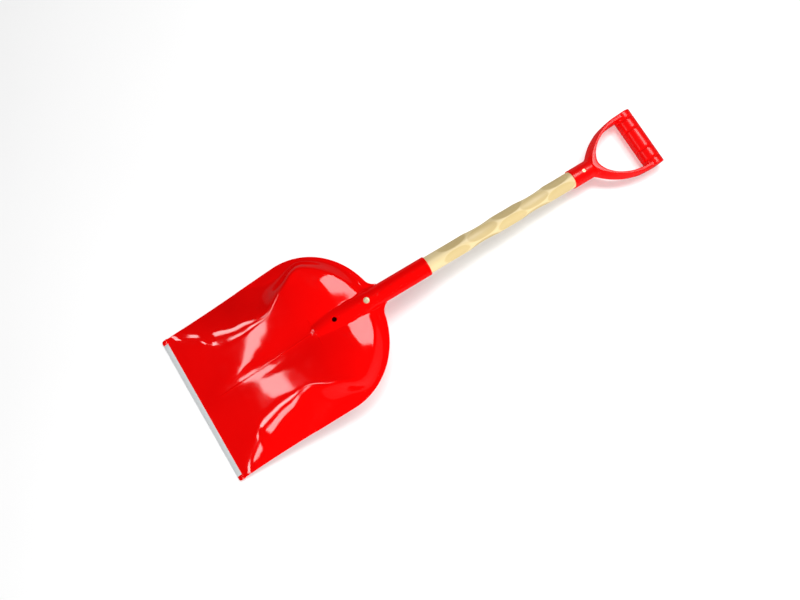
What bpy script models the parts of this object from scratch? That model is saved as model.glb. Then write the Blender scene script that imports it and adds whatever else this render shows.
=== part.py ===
"""Snow shovel: a moulded scoop on a wooden shaft with a D-grip.

The shovel lies face down, as it does on the ground: the convex back of the scoop is up (+Z),
the front edge and the grip's crossbar touch the ground, and +X runs from the edge to the grip.
Lengths below called "along" are horizontal distances from the front edge.
"""
import math

import bpy
import numpy as np
from mathutils import Matrix, Vector

MM = 0.001

# Driving dimensions, in metres
SHEET = 3.0 * MM                # wall thickness of the scoop
LIP_SLOPE = math.radians(21.0)  # slope of the scoop's floor at the front edge
STRIP_WALL = 1.0 * MM
STRIP_REACH = 12.0 * MM         # how far the strip covers the lip
STRIP_HALF = 148.5 * MM
FIT_GAP = 0.3 * MM
HALF_FRONT = 158.0 * MM
HALF_WAIST = 155.2 * MM
WAIST_ALONG = 138.0 * MM
SHOULDER_ALONG = 271.0 * MM     # where the rounded rear starts
HALF_SHOULDER = 156.2 * MM
REAR_REACH = 144.0 * MM         # the rear ellipse's half axis along the shovel
NECK_FILLET = 24.0 * MM
FILLET_STOP = math.radians(20.0)  # the neck's fillets end this much before they meet the tube
NECK_ALONG = 433.0 * MM
NECK_HEIGHT = 79.0 * MM         # height of the shaft's axis at the neck
RIM_ABOVE_NECK = 4.0 * MM       # how far the rim's rear end is above that axis
RIM_CROWN = 2.0 * MM            # how far the rim bows up between its ends
BAR_ALONG = 1021.9 * MM
BAR_RADIUS = 18.7 * MM
CREST_START = 260.0 * MM        # the floor stops rising evenly here
CREST_END = 345.0 * MM          # and falls evenly from here on
REAR_FALL = 0.30                # slope of that fall
REAR_CROWN = 1.6                # the rear falls off sideways, per square metre outside the flat middle
CROWN_FLAT = 60.0 * MM
CROWN_START = 290.0 * MM
CROWN_LENGTH = 50.0 * MM
LIP_END = 25.0 * MM             # behind this the rim leaves the lip's plane
LIP_BLEND = 3.0 * MM
FOLD_START = 170.0 * MM         # the bowl's round walls turn into steep ones with a flange, from here
FOLD_LENGTH = 90.0 * MM
WING_SLOPE = 0.33               # inward rise of that flange
TUBE_RADIUS = 19.25 * MM
TUBE_FRONT = 292.0 * MM
TUBE_MOUTH = 526.0 * MM
NOSE_END = 330.0 * MM           # the tube narrows in front of this
NOSE_TAPER = 3.5                # radius lost, per square metre of distance from there
SIDE_FALL = 3.0
NOSE_DIVE = 40.0
SHAFT_RADIUS = 17.0 * MM
SHAFT_FRONT = 342.0 * MM
BORE_FRONT = 316.0 * MM
VENT_ALONG = 325.0 * MM
VENT_RADIUS = 4.5 * MM
SCREW_ALONG = 393.0 * MM
GRIP_MOUTH = 858.0 * MM
SPIGOT_RADIUS = 14.0 * MM       # the shaft's turned-down end inside the grip
SPIGOT_START = 8.0 * MM         # measured from the grip's mouth
SPIGOT_END = 54.0 * MM
GRIP_RADIUS = 18.9 * MM
ARM_END = 172.0 * MM            # the arms end inside the crossbar; from the grip's mouth
GRIP_DEPTH = 32.0 * MM
GRIP_HALF = 62.5 * MM
BAR_HALF = 62.2 * MM
ARM_INNER_HALF = 52.8 * MM
GRIP_SCREW = 26.0 * MM          # from the grip's mouth
BLADE_SCREW_TIP = -5.0 * MM     # this and the next three: heights above the shaft's axis
GRIP_SCREW_TIP = -4.0 * MM
BLADE_HEAD_SEAT = TUBE_RADIUS - 1.2 * MM
GRIP_HEAD_SEAT = SPIGOT_RADIUS + 1.0 * MM
PILOT_RADIUS = 2.3 * MM
GRIP_PILOT_RADIUS = 2.0 * MM
ROUND_SIDES = 32
SMALL_SIDES = 20
OVERSHOOT = 10.0 * MM           # how far a cutter runs past the surface it cuts
STEP_BACK = 0.01 * MM           # length of a shoulder in a turned profile

TILT = math.atan((NECK_HEIGHT - BAR_RADIUS) / (BAR_ALONG - NECK_ALONG))
STRIP_HALF_THICK = SHEET / 2 + FIT_GAP + STRIP_WALL
LIP_ORIGIN = Vector((STRIP_HALF_THICK * math.sin(LIP_SLOPE), 0, STRIP_HALF_THICK * math.cos(LIP_SLOPE)))


def clear_scene():
    for old in list(bpy.data.objects):
        bpy.data.objects.remove(old, do_unlink=True)


def material(name, color, roughness, metallic=0.0):
    result = bpy.data.materials.new(name)
    result.use_nodes = True
    shader = result.node_tree.nodes["Principled BSDF"]
    shader.inputs["Base Color"].default_value = (*color, 1.0)
    shader.inputs["Roughness"].default_value = roughness
    shader.inputs["Metallic"].default_value = metallic
    return result


def add_mesh(name, points, faces, finish=None, smooth=True):
    mesh = bpy.data.meshes.new(name)
    mesh.from_pydata([tuple(p) for p in points], [], faces)
    mesh.validate()
    if smooth:
        mesh.shade_smooth()
        mesh.set_sharp_from_angle(angle=math.radians(35))
    if finish:
        mesh.materials.append(finish)
    result = bpy.data.objects.new(name, mesh)
    bpy.context.collection.objects.link(result)
    return result


def turned(name, profile, finish=None, sides=ROUND_SIDES):
    """A solid turned about X from (x, radius) points listed with rising x."""
    points = []
    faces = []
    for x, radius in profile:
        for k in range(sides):
            turn = 2 * math.pi * k / sides
            points.append((x, radius * math.sin(turn), radius * math.cos(turn)))
    for row in range(len(profile) - 1):
        for k in range(sides):
            near = row * sides + k
            side = row * sides + (k + 1) % sides
            faces.append((near, near + sides, side + sides, side))
    faces.append(tuple(range(sides)))
    last = (len(profile) - 1) * sides
    faces.append(tuple(last + k for k in reversed(range(sides))))
    return add_mesh(name, points, faces, finish)


def plate(name, outline, half_depth, finish=None):
    """A flat plan outline of (x, y) points, counter-clockwise, extruded from -Z to +Z."""
    count = len(outline)
    points = [(x, y, -half_depth) for x, y in outline] + [(x, y, half_depth) for x, y in outline]
    faces = [tuple(reversed(range(count))), tuple(range(count, 2 * count))]
    for k in range(count):
        step = (k + 1) % count
        faces.append((k, step, step + count, k + count))
    return add_mesh(name, points, faces, finish)


def combine(target, tool, operation):
    """Joins or cuts with a tool shape, which stays in the scene as a hidden guide."""
    tool.hide_render = True
    tool.display_type = "WIRE"
    change = target.modifiers.new(tool.name, "BOOLEAN")
    change.operation = operation
    change.solver = "EXACT"
    change.object = tool


def axis_height(along):
    return NECK_HEIGHT - (along - NECK_ALONG) * math.tan(TILT)


def place_on_axis(piece, along):
    """Puts a piece's X axis on the shaft's axis, its origin at a distance from the front edge."""
    piece.location = (along, 0, axis_height(along))
    piece.rotation_euler = (0, TILT, 0)


def axis_length(start, end):
    return (end - start) / math.cos(TILT)


def bend(value, knots):
    """Smooth curve through (position, value) knots, level at both ends."""
    spots = np.array([k[0] for k in knots])
    levels = np.array([k[1] for k in knots])
    slopes = np.zeros(len(knots))
    slopes[1:-1] = (levels[2:] - levels[:-2]) / (spots[2:] - spots[:-2])
    value = np.clip(value, spots[0], spots[-1])
    right = np.clip(np.searchsorted(spots, value, side="right"), 1, len(knots) - 1)
    width = spots[right] - spots[right - 1]
    t = (value - spots[right - 1]) / width
    rise = levels[right - 1] * (1 + 2 * t) * (1 - t) ** 2 + levels[right] * t * t * (3 - 2 * t)
    return rise + width * t * (1 - t) * (slopes[right - 1] * (1 - t) - slopes[right] * t)


def smooth_step(t):
    t = np.clip(t, 0, 1)
    return t * t * (3 - 2 * t)


def soft_max(a, b, blend):
    mix = np.clip(0.5 + 0.5 * (a - b) / blend, 0, 1)
    return b + (a - b) * mix + blend * mix * (1 - mix)


def side_half_width(along):
    """Half width of the scoop from the lip to the shoulder: a slight waist."""
    front = HALF_WAIST + (HALF_FRONT - HALF_WAIST) * ((WAIST_ALONG - along) / WAIST_ALONG) ** 2
    rise = smooth_step((along - WAIST_ALONG) / (SHOULDER_ALONG - WAIST_ALONG))
    rear = HALF_WAIST + (HALF_SHOULDER - HALF_WAIST) * rise
    return np.where(along < WAIST_ALONG, front, rear)


def rear_ellipse(turn):
    return SHOULDER_ALONG + REAR_REACH * np.sin(turn), HALF_SHOULDER * np.cos(turn)


def neck_fillet_center():
    """The fillet touches the tube's side line and the rear ellipse."""
    turns = np.linspace(0, math.pi / 2, 2001)
    ex, ey = rear_ellipse(turns)
    high = TUBE_RADIUS + NECK_FILLET
    low_x, high_x = SHOULDER_ALONG + REAR_REACH, SHOULDER_ALONG + REAR_REACH + 2 * NECK_FILLET
    for _ in range(40):
        middle = (low_x + high_x) / 2
        if np.min(np.hypot(ex - middle, ey - high)) > NECK_FILLET:
            high_x = middle
        else:
            low_x = middle
    touch = turns[np.argmin(np.hypot(ex - low_x, ey - high))]
    return low_x, high, touch


def half_outline(front, split_turn, steps=60):
    """The scoop's +Y outline: side points up to the split, then rear points to the neck."""
    along = np.linspace(front, SHOULDER_ALONG, steps)
    side = np.column_stack((along, side_half_width(along)))
    turns = np.linspace(0, split_turn, steps)[1:]
    side = np.vstack((side, np.column_stack(rear_ellipse(turns))))
    cx, cy, touch = neck_fillet_center()
    rear = np.column_stack(rear_ellipse(np.linspace(split_turn, touch, steps)))
    ex, ey = rear_ellipse(touch)
    first = math.atan2(ey - cy, ex - cx) % (2 * math.pi)
    arc = np.linspace(first, 1.5 * math.pi - FILLET_STOP, steps // 2)[1:]
    fillet = np.column_stack((cx + NECK_FILLET * np.cos(arc), cy + NECK_FILLET * np.sin(arc)))
    middle = np.array([[fillet[-1, 0], 0.0]])
    return side, np.vstack((rear, fillet, middle))


def resample(path, fractions):
    """Points at the given fractions of a path's length."""
    steps = np.hypot(*np.diff(path, axis=0).T)
    run = np.concatenate(([0], np.cumsum(steps)))
    run /= run[-1]
    return np.column_stack((np.interp(fractions, run, path[:, 0]), np.interp(fractions, run, path[:, 1])))


def distance_to(path, along, across):
    """Shortest distance from each point to a path, mirrored to -Y."""
    near = np.full(np.shape(along), np.inf)
    across = np.abs(across)
    for start, end in zip(path[:-1], path[1:]):
        span = end - start
        part = ((along - start[0]) * span[0] + (across - start[1]) * span[1]) / (span @ span)
        spot = start[:, None] + span[:, None] * np.clip(part, 0, 1)
        near = np.minimum(near, np.hypot(spot[0] - along, spot[1] - across))
    return near


SIDE_PATH, REAR_PATH = half_outline(STRIP_WALL + FIT_GAP + LIP_ORIGIN.x, math.radians(40))
RIM_PATH = np.vstack((SIDE_PATH[::3], REAR_PATH[1::3], REAR_PATH[-1:]))


def tube_radius_at(along):
    """The tube narrows towards its nose."""
    return TUBE_RADIUS - NOSE_TAPER * np.maximum(NOSE_END - along, 0) ** 2


# Tables of (distance from the front edge, value)
VALLEY_DEPTHS = [(0.045, 0.0), (0.11, 0.0013), (0.215, 0.004), (0.27, 0.005), (0.40, 0.005),
                 (NECK_ALONG, 0.003)]
VALLEY_HALVES = [(0.045, 0.012), (0.11, 0.018), (0.215, 0.034), (0.30, 0.040), (NECK_ALONG, 0.040)]
WALL_WIDTHS = [(0.0, 0.044), (0.077, 0.060), (0.10, 0.084), (0.13, 0.090), (0.165, 0.092), (0.195, 0.084),
               (0.225, 0.070), (0.25, 0.048), (0.279, 0.035), (0.30, 0.028), (0.318, 0.024), (0.34, 0.024),
               (0.40, 0.026), (NECK_ALONG, 0.040)]
FLANGE_WIDTHS = [(0.0, 0.0), (0.17, 0.0), (0.195, 0.003), (0.225, 0.013), (0.25, 0.020), (0.279, 0.020),
                 (0.30, 0.012), (0.318, 0.006), (0.34, 0.005), (NECK_ALONG, 0.005)]
TUBE_SINKS = [(0.404, -0.12 * MM), (NECK_ALONG, 0.25 * MM)]
TUBE_BLENDS = [(0.28, 0.010), (0.40, 0.014), (NECK_ALONG, 0.001)]


def floor_height(along, across):
    """Height of the bowl's floor: straight, then over the crest, with a shallow valley in the middle."""
    rise = math.tan(LIP_SLOPE)
    start = LIP_ORIGIN.z + SHEET / 2 / math.cos(LIP_SLOPE)
    on_crest = np.clip(along, CREST_START, CREST_END) - CREST_START
    lip = start + (along - LIP_ORIGIN.x) * rise
    sag = (rise + REAR_FALL) / (CREST_END - CREST_START)
    floor = lip - sag * on_crest ** 2 / 2 - (rise + REAR_FALL) * np.maximum(along - CREST_END, 0)
    valley = bend(along, VALLEY_DEPTHS) * np.exp(-(across / bend(along, VALLEY_HALVES)) ** 2)
    crown = REAR_CROWN * np.maximum(np.abs(across) - CROWN_FLAT, 0) ** 2
    crown = crown * smooth_step((along - CROWN_START) / CROWN_LENGTH)
    return lip, floor - valley - crown


def tube_height(along, across):
    """Height of the tube's upper side, running down steeply beside it."""
    radius = tube_radius_at(along)
    top = axis_height(along) - bend(along, TUBE_SINKS) / math.cos(TILT)
    top = top + np.sqrt(np.maximum(radius ** 2 - across ** 2, 0)) / math.cos(TILT)
    top = top - SIDE_FALL * np.maximum(np.abs(across) - radius, 0)
    return top - NOSE_DIVE * np.maximum(TUBE_FRONT - along, 0) ** 2


def back_height(along, across):
    """Height of the scoop's back above the ground."""
    lip, floor = floor_height(along, across)
    start = LIP_ORIGIN.z + SHEET / 2 + LIP_END * math.tan(LIP_SLOPE)
    end = NECK_HEIGHT + RIM_ABOVE_NECK
    part = np.clip((along - LIP_END) / (NECK_ALONG - LIP_END), -0.05, 1)
    rim = start + part * (end - start) + 4 * RIM_CROWN * part * (1 - part)
    rim = -soft_max(-rim, -lip, LIP_BLEND)
    edge_distance = distance_to(RIM_PATH, along, across)
    flange = bend(along, FLANGE_WIDTHS)
    fold = smooth_step((along - FOLD_START) / FOLD_LENGTH)
    rim = np.minimum(rim + WING_SLOPE * fold * np.minimum(edge_distance, flange), floor)
    depth = np.clip((edge_distance - flange) / bend(along, WALL_WIDTHS), 0, 1)
    bowl = 1 - (1 - depth) ** 2
    scoop = rim + (floor - rim) * (bowl + (smooth_step(depth) - bowl) * fold)
    with_tube = soft_max(scoop, tube_height(along, across), bend(along, TUBE_BLENDS))
    return np.where(along > 0.25, with_tube, scoop)


def back_normal(along, across):
    nudge = 0.4 * MM
    slope_x = (back_height(along + nudge, across) - back_height(along - nudge, across)) / (2 * nudge)
    slope_y = (back_height(along, across + nudge) - back_height(along, across - nudge)) / (2 * nudge)
    normal = np.column_stack((-slope_x, -slope_y, np.ones(len(along))))
    return normal / np.linalg.norm(normal, axis=1)[:, None]


def scoop_sheet(finish):
    """The scoop's sheet: a curved-sided grid of the back, and its copy one wall thickness inside."""
    columns = [0, .03, .06, .09, .12, .155, .19, .23, .28, .34, .41, .48, .55, .62, .68, .74, .79, .84, .88,
               .915, .945, .972, 1]
    across = np.array([-c for c in reversed(columns[1:])] + columns)
    rows = np.concatenate(([0, .015, .03, .055], np.linspace(.085, .86, 30), np.linspace(.88, .985, 8), [1]))
    right = resample(SIDE_PATH, rows)
    back_half = resample(REAR_PATH[::-1], np.abs(across))
    back = np.column_stack((back_half[:, 0], back_half[:, 1] * np.sign(across)))
    edge = np.column_stack((np.full(len(across), right[0, 0]), across * right[0, 1]))
    right = right[:, None, :]
    left = right * (1, -1)
    u = ((across + 1) / 2)[None, :, None]
    v = rows[:, None, None]
    corners = (1 - v) * ((1 - u) * left[0] + u * right[0]) + v * ((1 - u) * left[-1] + u * right[-1])
    flat = ((1 - v) * edge + v * back + (1 - u) * left + u * right - corners).reshape(-1, 2)
    x, y = flat.T
    outer = np.column_stack((x, y, back_height(x, y)))
    points = np.vstack((outer, outer - SHEET * back_normal(x, y)))
    wide = len(across)
    total = len(outer)
    faces = []
    for i in range(len(rows) - 1):
        for j in range(wide - 1):
            a = i * wide + j
            faces.append((a, a + wide, a + wide + 1, a + 1))
            faces.append((total + a, total + a + 1, total + a + wide + 1, total + a + wide))
    ring = list(range(wide)) + [i * wide + wide - 1 for i in range(1, len(rows))]
    ring += [(len(rows) - 1) * wide + j for j in reversed(range(wide - 1))]
    ring += [i * wide for i in reversed(range(1, len(rows) - 1))]
    for a, b in zip(ring, ring[1:] + ring[:1]):
        faces.append((a, b, b + total, a + total))
    return add_mesh("scoop", points, faces, finish)


def lug(side):
    """Corner block that closes the strip's end."""
    corner = 5.0 * MM
    inner = STRIP_HALF + FIT_GAP
    outer = HALF_FRONT + 0.5 * MM
    outline = [(STRIP_REACH + 2 * MM, inner), (STRIP_REACH + 2 * MM, outer)]
    for k in range(7):
        turn = math.radians(90 + 15 * k)
        outline.append((corner + corner * math.cos(turn), outer - corner + corner * math.sin(turn)))
    outline.append((0.0, inner))
    if side < 0:
        outline = [(x, -y) for x, y in reversed(outline)]
    block = plate("lug_shape", outline, STRIP_HALF_THICK)
    block.location = LIP_ORIGIN
    block.rotation_euler = (0, -LIP_SLOPE, 0)
    return block


def make_scoop(finish):
    scoop = scoop_sheet(finish)
    for side in (1, -1):
        combine(scoop, lug(side), "UNION")
    length = axis_length(TUBE_FRONT, TUBE_MOUTH)
    profile = [(0, tube_radius_at(TUBE_FRONT) - 5 * MM), (0.6 * MM, tube_radius_at(TUBE_FRONT) - 2 * MM)]
    for along in np.linspace(TUBE_FRONT + 3 * MM, NOSE_END, 7):
        profile.append((axis_length(TUBE_FRONT, along), tube_radius_at(along)))
    tube = turned("tube_shape", profile + [(length - MM, TUBE_RADIUS), (length, TUBE_RADIUS - MM)])
    place_on_axis(tube, TUBE_FRONT)
    combine(scoop, tube, "UNION")
    bore = turned("bore_shape", [(0, SHAFT_RADIUS + FIT_GAP),
                                 (axis_length(BORE_FRONT, TUBE_MOUTH) + OVERSHOOT, SHAFT_RADIUS + FIT_GAP)])
    place_on_axis(bore, BORE_FRONT)
    combine(scoop, bore, "DIFFERENCE")
    vent = turned("vent_shape", [(0, VENT_RADIUS), (0.05, VENT_RADIUS)], sides=SMALL_SIDES)
    stand_up(vent, VENT_ALONG, 0.0)
    combine(scoop, vent, "DIFFERENCE")
    seat = turned("seat_shape", [(0, 2.6 * MM), (BLADE_HEAD_SEAT, 2.6 * MM),
                                 (BLADE_HEAD_SEAT + STEP_BACK, 7 * MM), (0.05, 7 * MM)], sides=SMALL_SIDES)
    stand_up(seat, SCREW_ALONG, 0.0)
    combine(scoop, seat, "DIFFERENCE")
    return scoop


def stand_up(piece, along, height):
    """Points a piece's X axis away from the shaft, its origin at a height above the shaft's axis."""
    normal = Vector((math.sin(TILT), 0, math.cos(TILT)))
    piece.location = Vector((along, 0, axis_height(along))) + normal * height
    piece.rotation_euler = (0, TILT - math.pi / 2, 0)


def make_strip(finish):
    """Folded metal U over the lip."""
    outer = STRIP_HALF_THICK
    inner = STRIP_HALF_THICK - STRIP_WALL
    section = [(0, -outer), (STRIP_REACH, -outer), (STRIP_REACH, -inner), (STRIP_WALL, -inner),
               (STRIP_WALL, inner), (STRIP_REACH, inner), (STRIP_REACH, outer), (0, outer)]
    strip = plate("edge_strip", section, STRIP_HALF, finish)
    strip.matrix_world = (Matrix.Translation(LIP_ORIGIN) @ Matrix.Rotation(-LIP_SLOPE, 4, "Y")
                          @ Matrix.Rotation(math.pi / 2, 4, "X"))
    return strip


def make_shaft(finish):
    grip_x = axis_length(SHAFT_FRONT, GRIP_MOUTH)
    edge = 1.5 * MM
    shoulder = grip_x + SPIGOT_START - FIT_GAP
    profile = [(0, SHAFT_RADIUS - edge), (edge, SHAFT_RADIUS), (shoulder, SHAFT_RADIUS),
               (shoulder + STEP_BACK, SPIGOT_RADIUS), (grip_x + SPIGOT_END - edge, SPIGOT_RADIUS),
               (grip_x + SPIGOT_END, SPIGOT_RADIUS - edge)]
    shaft = turned("shaft", profile, finish)
    place_on_axis(shaft, SHAFT_FRONT)
    for name, along, tip, radius in (
            ("blade_pilot_shape", SCREW_ALONG, BLADE_SCREW_TIP, PILOT_RADIUS),
            ("grip_pilot_shape", grip_along(GRIP_SCREW), GRIP_SCREW_TIP, GRIP_PILOT_RADIUS)):
        pilot = turned(name, [(0, radius), (0.04, radius)], sides=16)
        stand_up(pilot, along, tip - FIT_GAP)
        combine(shaft, pilot, "DIFFERENCE")
    return shaft


def grip_along(distance):
    return GRIP_MOUTH + distance * math.cos(TILT)


def make_blade_screw(finish):
    """Pan-head screw through the tube into the shaft."""
    seat = BLADE_HEAD_SEAT - BLADE_SCREW_TIP + FIT_GAP
    profile = [(0, 0.6 * MM), (3 * MM, 2 * MM), (seat, 2 * MM), (seat + STEP_BACK, 6 * MM),
               (seat + 1.4 * MM, 6 * MM), (seat + 2.3 * MM, 5 * MM), (seat + 2.8 * MM, 3.4 * MM)]
    screw = turned("blade_screw", profile, finish, sides=24)
    stand_up(screw, SCREW_ALONG, BLADE_SCREW_TIP)
    slot_cutter(screw, seat + 1.6 * MM, 2.2 * MM)
    return screw


def make_grip_screw(finish):
    """Countersunk screw, sunk in the grip's socket."""
    seat = GRIP_HEAD_SEAT - GRIP_SCREW_TIP
    profile = [(0, 0.6 * MM), (3 * MM, 1.7 * MM), (seat, 1.7 * MM), (seat + 2 * MM, 3.6 * MM),
               (seat + 2.4 * MM, 3.6 * MM)]
    screw = turned("grip_screw", profile, finish, sides=SMALL_SIDES)
    stand_up(screw, grip_along(GRIP_SCREW), GRIP_SCREW_TIP)
    slot_cutter(screw, seat + 1.2 * MM, 1.6 * MM)
    return screw


def slot_cutter(screw, depth_start, reach):
    """Cross recess in a screw's head."""
    wide = 0.5 * MM
    cross = [(wide, -reach), (wide, -wide), (reach, -wide), (reach, wide), (wide, wide), (wide, reach),
             (-wide, reach), (-wide, wide), (-reach, wide), (-reach, -wide), (-wide, -wide), (-wide, -reach)]
    cutter = plate(screw.name + "_recess_shape", cross, 5 * MM)
    on_screw = Matrix.Translation(screw.location) @ screw.rotation_euler.to_matrix().to_4x4()
    in_head = Matrix.Translation((depth_start + 5 * MM, 0, 0)) @ Matrix.Rotation(math.pi / 2, 4, "Y")
    cutter.matrix_world = on_screw @ in_head
    combine(screw, cutter, "DIFFERENCE")


def smooth_path(points, per_span=4):
    """Points along a smooth curve through the given ones."""
    path = [Vector(p) for p in points]
    ends = [2 * path[0] - path[1]] + path + [2 * path[-1] - path[-2]]
    result = []
    for k in range(1, len(ends) - 2):
        p0, p1, p2, p3 = ends[k - 1:k + 3]
        for step in range(per_span):
            t = step / per_span
            point = 0.5 * (2 * p1 + (p2 - p0) * t + (2 * p0 - 5 * p1 + 4 * p2 - p3) * t * t
                           + (3 * p1 - p0 - 3 * p2 + p3) * t ** 3)
            result.append(tuple(point))
    result.append(tuple(path[-1]))
    return result


def make_grip(finish):
    """D-grip in one moulding: socket, yoke, two arms and crossbar."""
    corner = 4.0 * MM
    outer = smooth_path([(0.036, 0.0185), (0.0485, 0.0215), (0.0617, 0.0337), (0.0774, 0.0442),
                         (0.096, 0.0530), (0.1126, 0.0583), (0.132, 0.0615), (0.150, GRIP_HALF),
                         (ARM_END - corner, GRIP_HALF)])
    for k in range(1, 5):
        turn = math.radians(90 - 22.5 * k)
        outer.append((ARM_END - corner + corner * math.cos(turn), GRIP_HALF - corner + corner * math.sin(turn)))
    inner = smooth_path([(0.0614, 0.0), (0.0640, 0.0100), (0.0700, 0.0210), (0.0790, 0.0305), (0.0915, 0.0393),
                         (0.1045, 0.0455), (0.118, 0.0500), (0.147, ARM_INNER_HALF), (ARM_END, ARM_INNER_HALF)])
    outline = list(reversed(outer)) + [(x, -y) for x, y in outer]
    outline += [(x, -y) for x, y in reversed(inner)] + inner[1:]
    arms = plate("grip", outline, GRIP_DEPTH / 2, finish)
    place_on_axis(arms, GRIP_MOUTH)
    edge = arms.modifiers.new("edges", "BEVEL")
    edge.width = 3.0 * MM
    edge.segments = 2
    edge.limit_method = "ANGLE"
    edge.angle_limit = math.radians(50)
    socket = turned("socket_shape", [(0, GRIP_RADIUS - 0.8 * MM), (0.8 * MM, GRIP_RADIUS),
                                     (0.046, GRIP_RADIUS + 0.6 * MM), (0.0595, GRIP_RADIUS - 6 * MM)])
    place_on_axis(socket, GRIP_MOUTH)
    combine(arms, socket, "UNION")
    bar = turned("bar_shape", [(0, BAR_RADIUS - MM), (MM, BAR_RADIUS), (2 * BAR_HALF - MM, BAR_RADIUS),
                               (2 * BAR_HALF, BAR_RADIUS - MM)])
    bar.matrix_world = (Matrix.Translation((BAR_ALONG, 0, axis_height(BAR_ALONG)))
                        @ Matrix.Rotation(math.pi / 2, 4, "Z")
                        @ Matrix.Translation((-BAR_HALF, 0, 0)))
    combine(arms, bar, "UNION")
    bore = turned("grip_bore_shape", [(-OVERSHOOT, SHAFT_RADIUS + FIT_GAP),
                                      (SPIGOT_START, SHAFT_RADIUS + FIT_GAP),
                                      (SPIGOT_START + STEP_BACK, SPIGOT_RADIUS + FIT_GAP),
                                      (SPIGOT_END + FIT_GAP, SPIGOT_RADIUS + FIT_GAP)])
    place_on_axis(bore, GRIP_MOUTH)
    combine(arms, bore, "DIFFERENCE")
    seat = turned("grip_seat_shape", [(SPIGOT_RADIUS - MM, 2.0 * MM), (GRIP_HEAD_SEAT, 2.0 * MM),
                                      (GRIP_HEAD_SEAT + 2 * MM, 4.0 * MM), (0.03, 4.8 * MM)], sides=SMALL_SIDES)
    stand_up(seat, grip_along(GRIP_SCREW), 0.0)
    combine(arms, seat, "DIFFERENCE")
    return arms


def settle(pieces):
    """Hangs the pieces on one empty that puts the box's bottom centre at the origin."""
    bpy.context.view_layer.update()
    state = bpy.context.evaluated_depsgraph_get()
    corners = []
    for piece in pieces:
        ready = piece.evaluated_get(state)
        corners += [ready.matrix_world @ v.co for v in ready.data.vertices]
    low = [min(c[k] for c in corners) for k in range(3)]
    high = [max(c[k] for c in corners) for k in range(3)]
    frame = bpy.data.objects.new("shovel_frame", None)
    bpy.context.collection.objects.link(frame)
    for thing in list(bpy.context.collection.objects):
        if thing is not frame:
            thing.parent = frame
    frame.location = (-(low[0] + high[0]) / 2, 0, -low[2])


def main():
    clear_scene()
    red = material("red_plastic", (0.75, 0.004, 0.003), 0.22)
    wood = material("varnished_wood", (0.72, 0.50, 0.26), 0.35)
    alloy = material("aluminium", (0.72, 0.74, 0.75), 0.35, 1.0)
    zinc = material("zinc_plated_steel", (0.80, 0.72, 0.52), 0.35, 1.0)
    pieces = [make_scoop(red), make_strip(alloy), make_shaft(wood), make_grip(red),
              make_blade_screw(zinc), make_grip_screw(zinc)]
    settle(pieces)


main()
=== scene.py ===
"""Snow shovel: the visual model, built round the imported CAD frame.

The shovel lies face down, its front edge towards -X and its D-grip towards +X.
"along" is the horizontal distance from the front edge. Lengths are in metres.
"""
import math

import bmesh
import bpy
import numpy as np
from mathutils import Matrix, Vector


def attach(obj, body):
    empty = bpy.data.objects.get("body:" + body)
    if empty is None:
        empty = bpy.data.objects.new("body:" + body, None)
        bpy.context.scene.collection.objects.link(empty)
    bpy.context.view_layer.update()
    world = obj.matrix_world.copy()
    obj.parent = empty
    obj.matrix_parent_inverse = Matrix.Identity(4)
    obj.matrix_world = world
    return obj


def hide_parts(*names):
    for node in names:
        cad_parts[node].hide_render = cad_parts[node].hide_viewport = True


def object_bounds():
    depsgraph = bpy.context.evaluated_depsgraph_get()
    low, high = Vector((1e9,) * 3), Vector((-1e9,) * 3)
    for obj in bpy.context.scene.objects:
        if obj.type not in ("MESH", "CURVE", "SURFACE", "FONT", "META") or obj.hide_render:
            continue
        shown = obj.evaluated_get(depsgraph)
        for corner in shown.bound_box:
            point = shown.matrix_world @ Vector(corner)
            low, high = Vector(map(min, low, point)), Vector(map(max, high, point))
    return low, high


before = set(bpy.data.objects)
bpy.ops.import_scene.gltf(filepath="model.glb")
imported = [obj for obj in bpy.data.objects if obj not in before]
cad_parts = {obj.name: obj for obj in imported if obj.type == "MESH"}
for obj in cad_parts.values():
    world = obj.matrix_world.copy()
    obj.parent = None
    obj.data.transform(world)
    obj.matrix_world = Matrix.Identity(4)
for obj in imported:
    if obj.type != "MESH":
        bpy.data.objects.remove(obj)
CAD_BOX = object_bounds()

MM = 0.001
ORIGIN = Vector((CAD_BOX[0].x, 0, CAD_BOX[0].z))  # where "along" is zero, at the ground

# The scoop
SHEET = 3.0 * MM                # wall thickness
LIP_SLOPE = math.radians(21.0)  # slope of the floor at the front edge
STRIP_WALL = 1.0 * MM
STRIP_REACH = 12.0 * MM         # how far the strip covers the lip
STRIP_HALF = 148.5 * MM
FIT_GAP = 0.3 * MM
HALF_FRONT = 158.0 * MM
HALF_WAIST = 155.2 * MM
WAIST_ALONG = 138.0 * MM
SHOULDER_ALONG = 271.0 * MM     # where the rounded rear starts
HALF_SHOULDER = 156.2 * MM
REAR_REACH = 144.0 * MM         # the rear ellipse's half axis along the shovel
NECK_FILLET = 24.0 * MM
FILLET_STOP = math.radians(20.0)  # the neck's fillets end this much before they meet the tube
NECK_ALONG = 433.0 * MM
NECK_HEIGHT = 79.0 * MM         # height of the shaft's axis at the neck
RIM_ABOVE_NECK = 4.0 * MM       # how far the rim's rear end is above that axis
RIM_CROWN = 2.0 * MM            # how far the rim bows up between its ends
CREST_START = 260.0 * MM        # the floor stops rising evenly here
CREST_END = 345.0 * MM          # and falls evenly from here on
REAR_FALL = 0.30                # slope of that fall
REAR_CROWN = 1.6                # the rear falls off sideways, per square metre outside the flat middle
CROWN_FLAT = 60.0 * MM
CROWN_START = 290.0 * MM
CROWN_LENGTH = 50.0 * MM
LIP_END = 25.0 * MM             # behind this the rim leaves the lip's plane
LIP_BLEND = 3.0 * MM
FOLD_START = 170.0 * MM         # the bowl's round walls turn into steep ones with a flange, from here
FOLD_LENGTH = 90.0 * MM
WING_SLOPE = 0.33               # inward rise of that flange
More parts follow.
